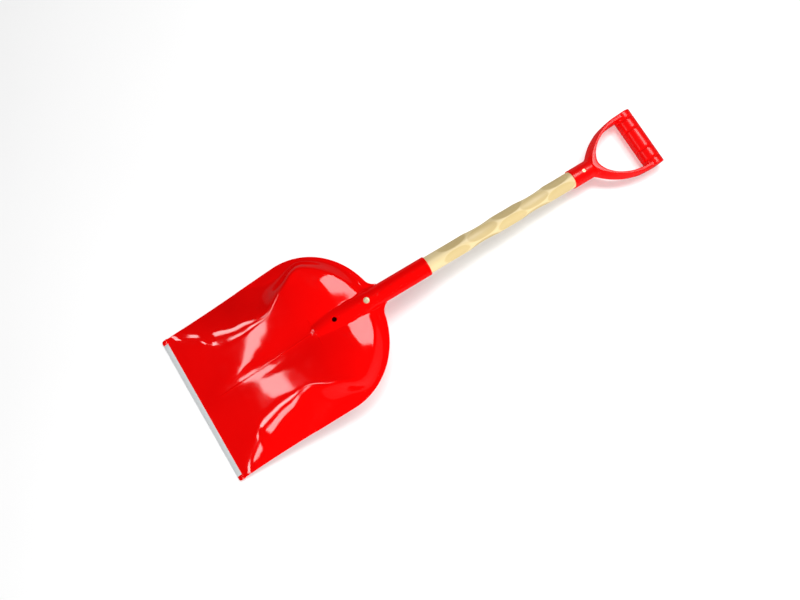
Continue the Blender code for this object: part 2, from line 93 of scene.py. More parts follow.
SETTLE = 0.20 * MM              # keeps the smooth crest inside the CAD's faceted one
RIM_ROUND = 0.9 * MM
RIM_SHARPEST = 0.15             # part of that rounding which is left where the rim meets the tube
NECK_ZONE = (400.0 * MM, 27.0 * MM)  # the rounding shrinks behind this and inside this
NECK_ZONE_BLEND = 8.0 * MM

# The socket tube on it
TUBE_RADIUS = 19.25 * MM
TUBE_FRONT = 292.0 * MM
TUBE_MOUTH = 526.0 * MM
TUBE_EDGE = 1.1 * MM
NOSE_END = 330.0 * MM           # the tube narrows in front of this
NOSE_TAPER = 3.5                # radius lost, per square metre of distance from there
NOSE_TIP = 290.0 * MM           # its surface dives under the floor in front of this
NOSE_DIVE = 40.0                # depth, per square metre of distance from there
SIDE_FALL = 3.0                 # how steeply that surface runs down beside the tube
TUBE_REGION = 250.0 * MM        # it plays no part in front of this
BORE_FRONT = 316.0 * MM
MOUTH_CHAMFER = 0.8 * MM
VENT_ALONG = 325.0 * MM
VENT_RADIUS = 4.5 * MM
HEAD_POCKET = 6.9 * MM          # radius of the blade screw's seat

# Raised marks: the line down the middle, the line across it, and the ring with a dot
MIDLINE_START = 46.0 * MM
MIDLINE_END = 283.0 * MM
MIDLINE_HEIGHT = 0.38 * MM
MIDLINE_HALF = 0.75 * MM
CROSSLINE_ALONG = 285.0 * MM
CROSSLINE_REACH = 27.0 * MM
CROSSLINE_HEIGHT = 0.42 * MM
MARK_ALONG = 420.0 * MM
MARK_RADIUS = 6.1 * MM

# The shaft, the grip and the screws
BAR_ALONG = 1021.9 * MM
BAR_RADIUS = 18.7 * MM
SHAFT_RADIUS = 17.0 * MM
SHAFT_FRONT = 342.0 * MM
SCREW_ALONG = 393.0 * MM
GRIP_MOUTH = 858.0 * MM
SPIGOT_RADIUS = 14.0 * MM       # the shaft's turned-down end inside the grip
SPIGOT_START = 8.0 * MM         # measured from the grip's mouth
SPIGOT_END = 54.0 * MM
GRIP_RADIUS = 18.9 * MM
GRIP_DEPTH = 32.0 * MM
GRIP_HALF = 62.5 * MM
GRIP_SCREW = 26.0 * MM          # from the grip's mouth
BLADE_SCREW_TIP = -5.0 * MM     # this and the next three: heights above the shaft's axis
GRIP_SCREW_TIP = -4.0 * MM
BLADE_HEAD_SEAT = TUBE_RADIUS - 1.2 * MM
GRIP_HEAD_SEAT = SPIGOT_RADIUS + 1.0 * MM
STEP_BACK = 0.01 * MM           # length of a shoulder in a turned profile

TILT = math.atan((NECK_HEIGHT - BAR_RADIUS) / (BAR_ALONG - NECK_ALONG))
STRIP_HALF_THICK = SHEET / 2 + FIT_GAP + STRIP_WALL
LIP_ORIGIN = Vector((STRIP_HALF_THICK * math.sin(LIP_SLOPE), 0, STRIP_HALF_THICK * math.cos(LIP_SLOPE)))


# ---------------------------------------------------------------- mesh helpers

def add_mesh(name, points, faces, material=None, sharp=35):
    mesh = bpy.data.meshes.new(name)
    mesh.from_pydata([tuple(p) for p in points], [], faces)
    mesh.validate()
    solid = bmesh.new()
    solid.from_mesh(mesh)
    bmesh.ops.recalc_face_normals(solid, faces=solid.faces)
    solid.to_mesh(mesh)
    solid.free()
    mesh.shade_smooth()
    mesh.set_sharp_from_angle(angle=math.radians(sharp))
    if material:
        mesh.materials.append(material)
    result = bpy.data.objects.new(name, mesh)
    bpy.context.collection.objects.link(result)
    return result


def turned(name, profile, material=None, sides=96):
    """A solid turned about X from (x, radius) points listed with rising x."""
    turns = 2 * np.pi * np.arange(sides) / sides
    points = []
    for x, radius in profile:
        points += [(x, radius * math.sin(a), radius * math.cos(a)) for a in turns]
    return rings(name, points, sides, material)


def rings(name, points, sides, material=None, closed=False, sharp=35):
    """Skin over rings of points; the two ends are capped unless the rings close on themselves."""
    count = len(points) // sides
    faces = []
    for row in range(count if closed else count - 1):
        for k in range(sides):
            near = row * sides + k
            side = row * sides + (k + 1) % sides
            far = ((row + 1) % count) * sides
            faces.append((near, far + k, far + (k + 1) % sides, side))
    if not closed:
        faces.append(tuple(range(sides)))
        last = (count - 1) * sides
        faces.append(tuple(last + k for k in reversed(range(sides))))
    return add_mesh(name, points, faces, material, sharp)


def plate(name, outline, half_depth, steps=1, material=None):
    """A flat plan outline of (x, y) points, counter-clockwise, extruded from -Z to +Z."""
    points = []
    for level in np.linspace(half_depth, -half_depth, steps + 1):
        points += [(x, y, level) for x, y in outline]
    return rings(name, points, len(outline), material)


def rounded(profile, radii, steps=5):
    """A polyline with its inner corners rounded, each with its own radius."""
    result = [profile[0]]
    for k in range(1, len(profile) - 1):
        corner = Vector(profile[k])
        back = Vector(profile[k - 1]) - corner
        ahead = Vector(profile[k + 1]) - corner
        reach = radii[k - 1]
        if reach <= 0:
            result.append(tuple(corner))
            continue
        a = corner + back.normalized() * reach
        b = corner + ahead.normalized() * reach
        for step in range(steps + 1):
            t = step / steps
            result.append(tuple((1 - t) ** 2 * a + 2 * t * (1 - t) * corner + t * t * b))
    result.append(profile[-1])
    return result


def smooth_path(points, per_span=5):
    """Points along a smooth curve through the given ones."""
    path = [Vector(p) for p in points]
    ends = [2 * path[0] - path[1]] + path + [2 * path[-1] - path[-2]]
    result = []
    for k in range(1, len(ends) - 2):
        p0, p1, p2, p3 = ends[k - 1:k + 3]
        for step in range(per_span):
            t = step / per_span
            result.append(0.5 * (2 * p1 + (p2 - p0) * t + (2 * p0 - 5 * p1 + 4 * p2 - p3) * t * t
                                 + (3 * p1 - p0 - 3 * p2 + p3) * t ** 3))
    result.append(path[-1])
    return result


def bead(name, path, normals, wide, high, closed=False, sides=10):
    """A low half-sunk bead that follows a path on a surface."""
    points = []
    count = len(path)
    for k in range(count):
        before = path[k - 1] if closed or k else path[k]
        after = path[(k + 1) % count] if closed or k < count - 1 else path[k]
        run = (after - before).normalized()
        up = normals[k].normalized()
        side = up.cross(run).normalized()
        for turn in np.linspace(0, 2 * math.pi, sides, endpoint=False):
            points.append(path[k] + side * (wide * math.cos(turn)) + up * (high * math.sin(turn)))
    return rings(name, points, sides, closed=closed)


def shape_by(target, tools, operation):
    """Joins or cuts with tool objects, bakes the result and removes the tools."""
    for tool in tools:
        change = target.modifiers.new(tool.name, "BOOLEAN")
        change.operation = operation
        change.solver = "EXACT"
        change.object = tool
    bake(target)
    for tool in tools:
        bpy.data.objects.remove(tool, do_unlink=True)


def bake(target, sharp=35):
    """Applies every modifier."""
    state = bpy.context.evaluated_depsgraph_get()
    mesh = bpy.data.meshes.new_from_object(target.evaluated_get(state))
    target.modifiers.clear()
    target.data = mesh
    mesh.shade_smooth()
    mesh.set_sharp_from_angle(angle=math.radians(sharp))


def bevel(target, width, segments=3, angle=40):
    edge = target.modifiers.new("edges", "BEVEL")
    edge.width = width
    edge.segments = segments
    edge.limit_method = "ANGLE"
    edge.angle_limit = math.radians(angle)
    bake(target)


def mark_points(piece, name, values):
    """Stores a value per point, for a material to read."""
    layer = piece.data.attributes.new(name, "FLOAT", "POINT")
    layer.data.foreach_set("value", values.astype(np.float32))


def axis_height(along):
    return NECK_HEIGHT - (along - NECK_ALONG) * math.tan(TILT)


def axis_length(start, end):
    return (end - start) / math.cos(TILT)


def axis_matrix(along):
    """The shaft's own frame, its origin at a distance from the front edge."""
    return Matrix.Translation((along, 0, axis_height(along))) @ Matrix.Rotation(TILT, 4, "Y")


def upright_matrix(along, height):
    """Its X axis points away from the shaft's upper side."""
    return axis_matrix(along) @ Matrix.Translation((0, 0, height)) @ Matrix.Rotation(-math.pi / 2, 4, "Y")


def grip_along(distance):
    return GRIP_MOUTH + distance * math.cos(TILT)


def finish_piece(piece, slot, *nodes, own_axes=False):
    """Moves a finished piece from the shovel's own frame to the row's, and binds it to the CAD.

    Its material follows the row's axes, or its own if asked, as the shaft's grain does.
    """
    if not own_axes:
        piece.data.transform(piece.matrix_world)
        piece.matrix_world = Matrix.Identity(4)
    piece.matrix_world = Matrix.Translation(ORIGIN) @ piece.matrix_world
    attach(piece, "root")
    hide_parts(*nodes)


# ---------------------------------------------------------------- the scoop's surface

def bend(value, knots):
    """Smooth curve through (position, value) knots, level at both ends."""
    spots = np.array([k[0] for k in knots])
    levels = np.array([k[1] for k in knots])
    slopes = np.zeros(len(knots))
    slopes[1:-1] = (levels[2:] - levels[:-2]) / (spots[2:] - spots[:-2])
    value = np.clip(value, spots[0], spots[-1])
    right = np.clip(np.searchsorted(spots, value, side="right"), 1, len(knots) - 1)
    width = spots[right] - spots[right - 1]
    t = (value - spots[right - 1]) / width
    rise = levels[right - 1] * (1 + 2 * t) * (1 - t) ** 2 + levels[right] * t * t * (3 - 2 * t)
    return rise + width * t * (1 - t) * (slopes[right - 1] * (1 - t) - slopes[right] * t)


def smooth_step(t):
    t = np.clip(t, 0, 1)
    return t * t * (3 - 2 * t)


def soft_max(a, b, blend):
    mix = np.clip(0.5 + 0.5 * (a - b) / blend, 0, 1)
    return b + (a - b) * mix + blend * mix * (1 - mix)


def side_half_width(along):
    front = HALF_WAIST + (HALF_FRONT - HALF_WAIST) * ((WAIST_ALONG - along) / WAIST_ALONG) ** 2
    rise = smooth_step((along - WAIST_ALONG) / (SHOULDER_ALONG - WAIST_ALONG))
    rear = HALF_WAIST + (HALF_SHOULDER - HALF_WAIST) * rise
    return np.where(along < WAIST_ALONG, front, rear)


def rear_ellipse(turn):
    return SHOULDER_ALONG + REAR_REACH * np.sin(turn), HALF_SHOULDER * np.cos(turn)


def neck_fillet_center():
    """The fillet touches the tube's side line and the rear ellipse."""
    turns = np.linspace(0, math.pi / 2, 2001)
    ex, ey = rear_ellipse(turns)
    high = TUBE_RADIUS + NECK_FILLET
    low_x, high_x = SHOULDER_ALONG + REAR_REACH, SHOULDER_ALONG + REAR_REACH + 2 * NECK_FILLET
    for _ in range(40):
        middle = (low_x + high_x) / 2
        if np.min(np.hypot(ex - middle, ey - high)) > NECK_FILLET:
            high_x = middle
        else:
            low_x = middle
    touch = turns[np.argmin(np.hypot(ex - low_x, ey - high))]
    return low_x, high, touch


def half_outline(front, split_turn, steps=90):
    """The scoop's +Y outline: side points up to the split, then rear points to the neck."""
    along = np.linspace(front, SHOULDER_ALONG, steps)
    side = np.column_stack((along, side_half_width(along)))
    turns = np.linspace(0, split_turn, steps)[1:]
    side = np.vstack((side, np.column_stack(rear_ellipse(turns))))
    cx, cy, touch = neck_fillet_center()
    rear = np.column_stack(rear_ellipse(np.linspace(split_turn, touch, steps)))
    ex, ey = rear_ellipse(touch)
    first = math.atan2(ey - cy, ex - cx) % (2 * math.pi)
    arc = np.linspace(first, 1.5 * math.pi - FILLET_STOP, steps // 2)[1:]
    fillet = np.column_stack((cx + NECK_FILLET * np.cos(arc), cy + NECK_FILLET * np.sin(arc)))
    return side, np.vstack((rear, fillet, np.array([[fillet[-1, 0], 0.0]])))


def resample(path, fractions):
    """Points at the given fractions of a path's length."""
    steps = np.hypot(*np.diff(path, axis=0).T)
    run = np.concatenate(([0], np.cumsum(steps)))
    run /= run[-1]
    return np.column_stack([np.interp(fractions, run, values) for values in path.T])


def distance_to(path, along, across):
    """Shortest distance from each point to a path, mirrored to -Y."""
    near = np.full(np.shape(along), np.inf)
    across = np.abs(across)
    for start, end in zip(path[:-1], path[1:]):
        span = end - start
        reach = ((along - start[0]) * span[0] + (across - start[1]) * span[1]) / (span @ span)
        reach = np.clip(reach, 0, 1)
        gap = np.hypot(start[0] + reach * span[0] - along, start[1] + reach * span[1] - across)
        near = np.minimum(near, gap)
    return near


SIDE_PATH, REAR_PATH = half_outline(STRIP_WALL + FIT_GAP + LIP_ORIGIN.x, math.radians(40))
RIM_PATH = np.vstack((SIDE_PATH[::3], REAR_PATH[1::3], REAR_PATH[-1:]))


def tube_radius_at(along):
    """The tube narrows towards its nose."""
    return TUBE_RADIUS - NOSE_TAPER * np.maximum(NOSE_END - along, 0) ** 2


# (Distance from the front edge, value), in metres: the valley down the middle of the floor and its half
# width, the walls' and the flange's width, how deep the tube sinks in, and the fillet beside it
VALLEY_DEPTHS = [(0.045, 0.0), (0.11, 0.0013), (0.215, 0.004), (0.27, 0.005), (0.40, 0.005),
                 (NECK_ALONG, 0.003)]
VALLEY_HALVES = [(0.045, 0.012), (0.11, 0.018), (0.215, 0.034), (0.30, 0.040), (NECK_ALONG, 0.040)]
WALL_WIDTHS = [(0.0, 0.044), (0.077, 0.060), (0.10, 0.084), (0.13, 0.090), (0.165, 0.092), (0.195, 0.084),
               (0.225, 0.070), (0.25, 0.048), (0.279, 0.035), (0.30, 0.028), (0.318, 0.024), (0.34, 0.024),
               (0.40, 0.026), (NECK_ALONG, 0.040)]
FLANGE_WIDTHS = [(0.0, 0.0), (0.17, 0.0), (0.195, 0.003), (0.225, 0.013), (0.25, 0.020), (0.279, 0.020),
                 (0.30, 0.012), (0.318, 0.006), (0.34, 0.005), (NECK_ALONG, 0.005)]
TUBE_SINKS = [(0.404, -0.12 * MM), (NECK_ALONG, 0.25 * MM)]
TUBE_BLENDS = [(0.28, 0.010), (0.40, 0.014), (NECK_ALONG, 0.001)]


def floor_height(along, across):
    """The lip's plane, and the bowl's floor: straight, then over the crest, with a shallow valley."""
    rise = math.tan(LIP_SLOPE)
    start = LIP_ORIGIN.z + SHEET / 2 / math.cos(LIP_SLOPE)
    on_crest = np.clip(along, CREST_START, CREST_END) - CREST_START
    lip = start + (along - LIP_ORIGIN.x) * rise
    sag = (rise + REAR_FALL) / (CREST_END - CREST_START)
    floor = lip - sag * on_crest ** 2 / 2 - (rise + REAR_FALL) * np.maximum(along - CREST_END, 0)
    valley = bend(along, VALLEY_DEPTHS) * np.exp(-(across / bend(along, VALLEY_HALVES)) ** 2)
    crown = REAR_CROWN * np.maximum(np.abs(across) - CROWN_FLAT, 0) ** 2
    crown = crown * smooth_step((along - CROWN_START) / CROWN_LENGTH)
    return lip, floor - valley - crown


def tube_height(along, across):
    """Height of the tube's upper side, running down steeply beside it."""
    radius = tube_radius_at(along)
    top = axis_height(along) - bend(along, TUBE_SINKS) / math.cos(TILT)
    top = top + np.sqrt(np.maximum(radius ** 2 - across ** 2, 0)) / math.cos(TILT)
    top = top - SIDE_FALL * np.maximum(np.abs(across) - radius, 0)
    return top - NOSE_DIVE * np.maximum(NOSE_TIP - along, 0) ** 2


def back_height(along, across):
    """Height of the scoop's back above the ground."""
    lip, floor = floor_height(along, across)
    start = LIP_ORIGIN.z + SHEET / 2 + LIP_END * math.tan(LIP_SLOPE)
    end = NECK_HEIGHT + RIM_ABOVE_NECK
    part = np.clip((along - LIP_END) / (NECK_ALONG - LIP_END), -0.05, 1)
    rim = start + part * (end - start) + 4 * RIM_CROWN * part * (1 - part)
    rim = -soft_max(-rim, -lip, LIP_BLEND)
    edge_distance = distance_to(RIM_PATH, along, across)
    flange = bend(along, FLANGE_WIDTHS)
    fold = smooth_step((along - FOLD_START) / FOLD_LENGTH)
    rim = np.minimum(rim + WING_SLOPE * fold * np.minimum(edge_distance, flange), floor)
    depth = np.clip((edge_distance - flange) / bend(along, WALL_WIDTHS), 0, 1)
    bowl = 1 - (1 - depth) ** 2
    scoop = rim + (floor - rim) * (bowl + (smooth_step(depth) - bowl) * fold)
    with_tube = soft_max(scoop, tube_height(along, across), bend(along, TUBE_BLENDS))
    return np.where(along > TUBE_REGION, with_tube, scoop)


def relief(along, across):
    """The raised line down the middle of the back, which fades in at its front end."""
    ends = smooth_step((along - MIDLINE_START) / (20 * MM)) * smooth_step((MIDLINE_END - along) / (4 * MM))
    return MIDLINE_HEIGHT * np.exp(-(across / MIDLINE_HALF) ** 2) * ends


def back_normal(along, across, nudge=0.4 * MM):
    slope_x = (back_height(along + nudge, across) - back_height(along - nudge, across)) / (2 * nudge)
    slope_y = (back_height(along, across + nudge) - back_height(along, across - nudge)) / (2 * nudge)
    normal = np.column_stack((-slope_x, -slope_y, np.ones(len(along))))
    return normal / np.linalg.norm(normal, axis=1)[:, None]


def spread(knots):
    """Positions from (start, step) pairs up to the last start."""
    result = []
    for (start, step), (end, _) in zip(knots[:-1], knots[1:]):
        count = max(1, round((end - start) / step))
        result += list(np.linspace(start, end, count, endpoint=False))
    return np.array(result + [knots[-1][0]])


# The sheet's grid, as (start, step) in parts of the half width and of the length
ACROSS_STEPS = [(0, 0.002), (0.008, 0.004), (0.02, 0.009), (0.21, 0.0155), (0.9, 0.013), (0.98, 0.02), (1, 0)]
ALONG_STEPS = [(0, 0.0075), (0.66, 0.006), (0.93, 0.0045), (0.993, 0.007), (1, 0)]
EDGE_TURNS = np.radians([30, 60, 90])


def sheet_border(rows, across):
    """The plan outline, drawn in by the edge's rounding, with its outward directions and that rounding."""
    right = resample(SIDE_PATH, rows)
    back_half = resample(REAR_PATH[::-1], np.abs(across))
    back = np.column_stack((back_half[:, 0], back_half[:, 1] * np.sign(across)))
    front = np.column_stack((np.full(len(across), right[0, 0]), across * right[0, 1]))
    border = np.vstack((front, right[1:], back[-2::-1], (right * (1, -1))[-2:0:-1]))
    run = np.roll(border, -1, axis=0) - np.roll(border, 1, axis=0)
    outward = np.column_stack((-run[:, 1], run[:, 0]))
    outward /= np.linalg.norm(outward, axis=1)[:, None]
    near_neck = (border[:, 0] > NECK_ZONE[0]) & (np.abs(border[:, 1]) < NECK_ZONE[1])
    beside_tube = np.clip((np.abs(border[:, 1]) - TUBE_RADIUS) / NECK_ZONE_BLEND, RIM_SHARPEST, 1)
    rounding = (RIM_ROUND * np.where(near_neck, beside_tube, 1))[:, None]
    return border - outward * rounding, outward, rounding


def fill_border(border, rows, across):
    """A curved-sided grid of plan points inside the border."""
    tall, wide = len(rows), len(across)
    front = border[:wide]
    right = border[wide - 1:wide + tall - 1][:, None]
    back = border[wide + tall - 2:2 * wide + tall - 2][::-1]
    left = np.vstack((border[:1], border[:2 * wide + tall - 4:-1]))[:, None]
    u = ((across + 1) / 2)[None, :, None]
    v = rows[:, None, None]
    corners = (1 - u) * (1 - v) * left[0] + u * (1 - v) * right[0]
    corners = corners + (1 - u) * v * left[-1] + u * v * right[-1]
    return ((1 - v) * front + v * back + (1 - u) * left + u * right - corners).reshape(-1, 2)


def scoop_sheet(material):
    """The sheet: a grid of the back, its inner side and a rounded edge between them."""
    half = spread(ACROSS_STEPS)
    across = np.concatenate((-half[:0:-1], half))
    rows = spread(ALONG_STEPS)
    tall, wide = len(rows), len(across)
    border, outward, rounding = sheet_border(rows, across)
    x, y = fill_border(border, rows, across).T
    ring = list(range(wide)) + [i * wide + wide - 1 for i in range(1, tall)]
    ring += [(tall - 1) * wide + j for j in reversed(range(wide - 1))]
    ring += [i * wide for i in reversed(range(1, tall - 1))]
    normal = back_normal(x, y)
    height = back_height(x, y) - SETTLE
    outer = np.column_stack((x, y, height + relief(x, y)))
    inner = np.column_stack((x, y, height)) - SHEET * normal
    rim_out = np.column_stack((outward, np.zeros(len(ring))))
    rim_up = normal[ring]
    rim_out -= np.sum(rim_out * rim_up, axis=1)[:, None] * rim_up
    rim_out /= np.linalg.norm(rim_out, axis=1)[:, None]
    points = [outer, inner]
    for turn in EDGE_TURNS:
        points.append(outer[ring] + rounding * (math.sin(turn) * rim_out - (1 - math.cos(turn)) * rim_up))
    for turn in EDGE_TURNS[::-1]:
        points.append(inner[ring] + rounding * (math.sin(turn) * rim_out + (1 - math.cos(turn)) * rim_up))
    total = len(outer)
    count = len(ring)
    faces = []
    for i in range(tall - 1):
        for j in range(wide - 1):
            a = i * wide + j
            faces.append((a, a + wide, a + wide + 1, a + 1))
            faces.append((total + a, total + a + 1, total + a + wide + 1, total + a + wide))
    bands = [2 * total + k * count + np.arange(count) for k in range(2 * len(EDGE_TURNS))]
    bands = [np.array(ring)] + bands + [total + np.array(ring)]
    for upper, lower in zip(bands[:-1], bands[1:]):
        for k in range(count):
            step = (k + 1) % count
            faces.append((int(upper[k]), int(upper[step]), int(lower[step]), int(lower[k])))
    return add_mesh("scoop_moulding", np.vstack(points), faces, material)


def lug(side):
    """Corner block that closes the strip's end."""
    corner = 5.0 * MM
    inner = STRIP_HALF + FIT_GAP
    outer = HALF_FRONT + 0.5 * MM
    outline = [(STRIP_REACH + 2 * MM, inner), (STRIP_REACH + 2 * MM, outer)]
    for turn in np.radians(np.linspace(90, 180, 13)):
        outline.append((corner + corner * math.cos(turn), outer - corner + corner * math.sin(turn)))
    outline.append((0.0, inner))
    if side < 0:
        outline = [(x, -y) for x, y in reversed(outline)]
    block = plate(f"lug_{side}", outline, STRIP_HALF_THICK)
    bevel(block, 0.9 * MM)
    block.matrix_world = Matrix.Translation(LIP_ORIGIN) @ Matrix.Rotation(-LIP_SLOPE, 4, "Y")
    return block


def tube_tool():
    """The socket tube, with a rounded nose and mouth."""
    length = axis_length(TUBE_FRONT, TUBE_MOUTH)
    tip = tube_radius_at(TUBE_FRONT)
    shoulder = 5 * MM
    nose = [(0, tip - 7 * MM), (0, tip), (shoulder, tube_radius_at(TUBE_FRONT + shoulder))]
    profile = rounded(nose, [4 * MM])
    profile += [(x, tube_radius_at(TUBE_FRONT + x * math.cos(TILT)))
                for x in np.linspace(8 * MM, length * 0.96, 48)]
    profile += rounded([(length * 0.98, TUBE_RADIUS), (length, TUBE_RADIUS),
                        (length, TUBE_RADIUS - 2 * TUBE_EDGE)], [TUBE_EDGE])
    tube = turned("tube_tool", profile)
    tube.matrix_world = axis_matrix(TUBE_FRONT)
    return tube


def crossline_tool():
    """The raised line across the middle of the back."""
    spots = np.linspace(-CROSSLINE_REACH, CROSSLINE_REACH, 37)
    along = np.full(len(spots), CROSSLINE_ALONG)
    path = [Vector((CROSSLINE_ALONG, y, z)) for y, z in zip(spots, back_height(along, spots))]
    normals = [Vector(n) for n in back_normal(along, spots)]
    return bead("witness_tool", path, normals, MIDLINE_HALF, CROSSLINE_HEIGHT)


def ring_tool():
    """The ring mark: a bead on top of the tube."""
    path = []
    normals = []
    for turn in np.linspace(0, 2 * math.pi, 40, endpoint=False):
        around = MARK_RADIUS * math.sin(turn) / TUBE_RADIUS
        up = Vector((0, math.sin(around), math.cos(around)))
        path.append(Vector((MARK_RADIUS * math.cos(turn), 0, 0)) + up * TUBE_RADIUS)
        normals.append(up)
    result = bead("ring_mark", path, normals, 0.55 * MM, 0.4 * MM, closed=True)
    result.matrix_world = axis_matrix(MARK_ALONG)
    return result


def dot_tool():
    """The low dome inside the ring mark."""
    dot = turned("dot_tool", [(-1.0 * MM, 1.2 * MM), (0.1 * MM, 1.2 * MM), (0.28 * MM, 0.95 * MM),
                              (0.36 * MM, 0.4 * MM)], sides=40)
    dot.matrix_world = upright_matrix(MARK_ALONG, TUBE_RADIUS)
    return dot


def scoop_cutters():
    """The shaft's bore, the vent hole and the blade screw's seat with its hole."""
    reach = axis_length(BORE_FRONT, TUBE_MOUTH)
    radius = SHAFT_RADIUS + FIT_GAP
    mouth = SHAFT_RADIUS + 1.3 * MM
    bore = turned("bore_tool", [(0, radius), (reach - MOUTH_CHAMFER, radius), (reach + 0.2 * MM, mouth),
                                (reach + 10 * MM, mouth)])
    bore.matrix_world = axis_matrix(BORE_FRONT)
    rim = TUBE_RADIUS + 0.1 * MM
    above = 50 * MM
    vent = turned("vent_tool", [(0, VENT_RADIUS), (rim - 0.7 * MM, VENT_RADIUS),
                                (rim, VENT_RADIUS + 0.7 * MM), (above, VENT_RADIUS + 6 * MM)], sides=64)
    vent.matrix_world = upright_matrix(VENT_ALONG, 0)
    hole = 2.6 * MM
    seat = turned("seat_tool", [(0, hole), (BLADE_HEAD_SEAT, hole),
                                (BLADE_HEAD_SEAT + STEP_BACK, HEAD_POCKET), (rim - 0.4 * MM, HEAD_POCKET),
                                (rim, HEAD_POCKET + 0.4 * MM), (above, 12 * MM)], sides=64)
    seat.matrix_world = upright_matrix(SCREW_ALONG, 0)
    return [bore, vent, seat]


def make_scoop(material):
    scoop = scoop_sheet(material)
    shape_by(scoop, [lug(1), lug(-1), tube_tool(), crossline_tool(), ring_tool(), dot_tool()], "UNION")
    shape_by(scoop, scoop_cutters(), "DIFFERENCE")
    # points in the shaft's bore, marked so that the material paints shade on them
    local = [axis_matrix(BORE_FRONT).inverted() @ v.co for v in scoop.data.vertices]
    bore_shade_mask = [v.x > -0.5 * MM and math.hypot(v.y, v.z) < SHAFT_RADIUS + 2 * FIT_GAP for v in local]
    mark_points(scoop, "inside", np.array(bore_shade_mask))
    finish_piece(scoop, "red_plastic", "scoop")


# ---------------------------------------------------------------- the other pieces

def make_strip(material):
    """Folded metal U over the lip, with rounded folds."""
    outer = STRIP_HALF_THICK
    inner = STRIP_HALF_THICK - STRIP_WALL
    fold = 1.5 * MM
    edge = 0.3 * MM
    crease = 0.5 * MM
    section = rounded([(STRIP_REACH, -inner), (STRIP_REACH, -outer), (0, -outer), (0, outer),
                       (STRIP_REACH, outer), (STRIP_REACH, inner), (STRIP_WALL, inner), (STRIP_WALL, -inner),
                       (STRIP_REACH, -inner)], [edge, fold, fold, edge, edge, crease, crease], steps=6)[:-1]
    strip = plate("front_edge_strip", section, STRIP_HALF, steps=40, material=material)
    bevel(strip, 0.25 * MM, 2, 60)
    strip.matrix_world = (Matrix.Translation(LIP_ORIGIN) @ Matrix.Rotation(-LIP_SLOPE, 4, "Y")
                          @ Matrix.Rotation(math.pi / 2, 4, "X"))
    finish_piece(strip, "aluminium", "edge_strip")


# Rows of hewn facets, in mm: distance from the front edge, and the depth of each of the row's four facets.
# Every other row is turned by an eighth of a turn.
FACET_ROWS = [(585.5, 2.3, 2.0, 2.3, 2.1), (647.5, 2.6, 2.4, 2.2, 2.4), (711.7, 2.7, 2.5, 2.4, 2.6),
              (767.0, 2.4, 2.6, 2.6, 2.3), (825.0, 2.4, 2.5, 2.5, 2.3)]
FACET_TURNS = [(45, -45, 135, -135), (0, 180, 90, -90)]
FACET_REACH = 1.0               # radians to each side that a facet may reach
FACET_LENGTHWISE = 0.47         # twice the radius of its hollow along the shaft, in metres
FACET_CROSSWISE = 0.064         # twice the radius of its bulge across the shaft
FACET_BLEND = 0.3 * MM
RIDGE_DEPTH = 0.5 * MM          # the wood is coloured lighter where it is cut less deep than this, most where it is not cut


def hewn(radius, spots, turns):
    """Cuts the facets into a table of radii, and says for each point how far it still is on a ridge."""
    ridge = np.full(radius.shape, 1.0)
    for row, (along, *depths) in enumerate(FACET_ROWS):
        offset = axis_length(SHAFT_FRONT, along * MM) - spots[:, None]
        for direction, depth in zip(FACET_TURNS[row % 2], depths):
            turn = (turns[None] - math.radians(direction) + np.pi) % (2 * np.pi) - np.pi
            flat = SHAFT_RADIUS - depth * MM + offset ** 2 / FACET_LENGTHWISE
            cosine = np.maximum(np.cos(turn), 0.2)
            bulge = 4 * flat * np.sin(turn) ** 2 / FACET_CROSSWISE
            cut = 2 * flat / (cosine + np.sqrt(cosine ** 2 + bulge))
            cut = np.where((np.abs(turn) < FACET_REACH) & (cut > 0), cut, 1.0)
            ridge = np.minimum(ridge, 1 - np.clip((SHAFT_RADIUS - cut) / RIDGE_DEPTH, 0, 1))
            blended = np.minimum(radius, -soft_max(-radius, -cut, FACET_BLEND))
            radius = np.where(cut < radius + FACET_BLEND, blended, radius)
    return radius, ridge


def make_shaft(material):
    """Round wooden shaft with rows of hewn facets on the visible length."""
    grip_x = axis_length(SHAFT_FRONT, GRIP_MOUTH)
    edge = 1.5 * MM
    sides = 120
    end = grip_x + SPIGOT_START - FIT_GAP
    hidden = np.linspace(12 * MM, 175 * MM, 12)
    visible = np.arange(180 * MM, end - 1 * MM, 1.6 * MM)
    spots = np.concatenate(([0.0, 0.4 * edge, edge], hidden, visible))
    radii = np.full(len(spots), SHAFT_RADIUS)
    radii[:2] = (SHAFT_RADIUS - edge, SHAFT_RADIUS - 0.25 * edge)
    turns = 2 * np.pi * np.arange(sides) / sides
    radius, ridge = hewn(np.repeat(radii[:, None], sides, axis=1), spots, turns)
    spigot = [(end, SHAFT_RADIUS), (end + STEP_BACK, SPIGOT_RADIUS),
              (grip_x + SPIGOT_END - edge, SPIGOT_RADIUS), (grip_x + SPIGOT_END, SPIGOT_RADIUS - edge)]
    points = []
    for spot, ring in zip(spots, radius):
        points += [(spot, r * math.sin(a), r * math.cos(a)) for a, r in zip(turns, ring)]
    for spot, r in spigot:
        points += [(spot, r * math.sin(a), r * math.cos(a)) for a in turns]
    shaft = rings("wooden_shaft", points, sides, material, sharp=50)
    mark_points(shaft, "ridge", np.concatenate((ridge.ravel(), np.ones(len(spigot) * sides))))
    shaft.matrix_world = axis_matrix(SHAFT_FRONT)
    finish_piece(shaft, "varnished_wood", "shaft", own_axes=True)


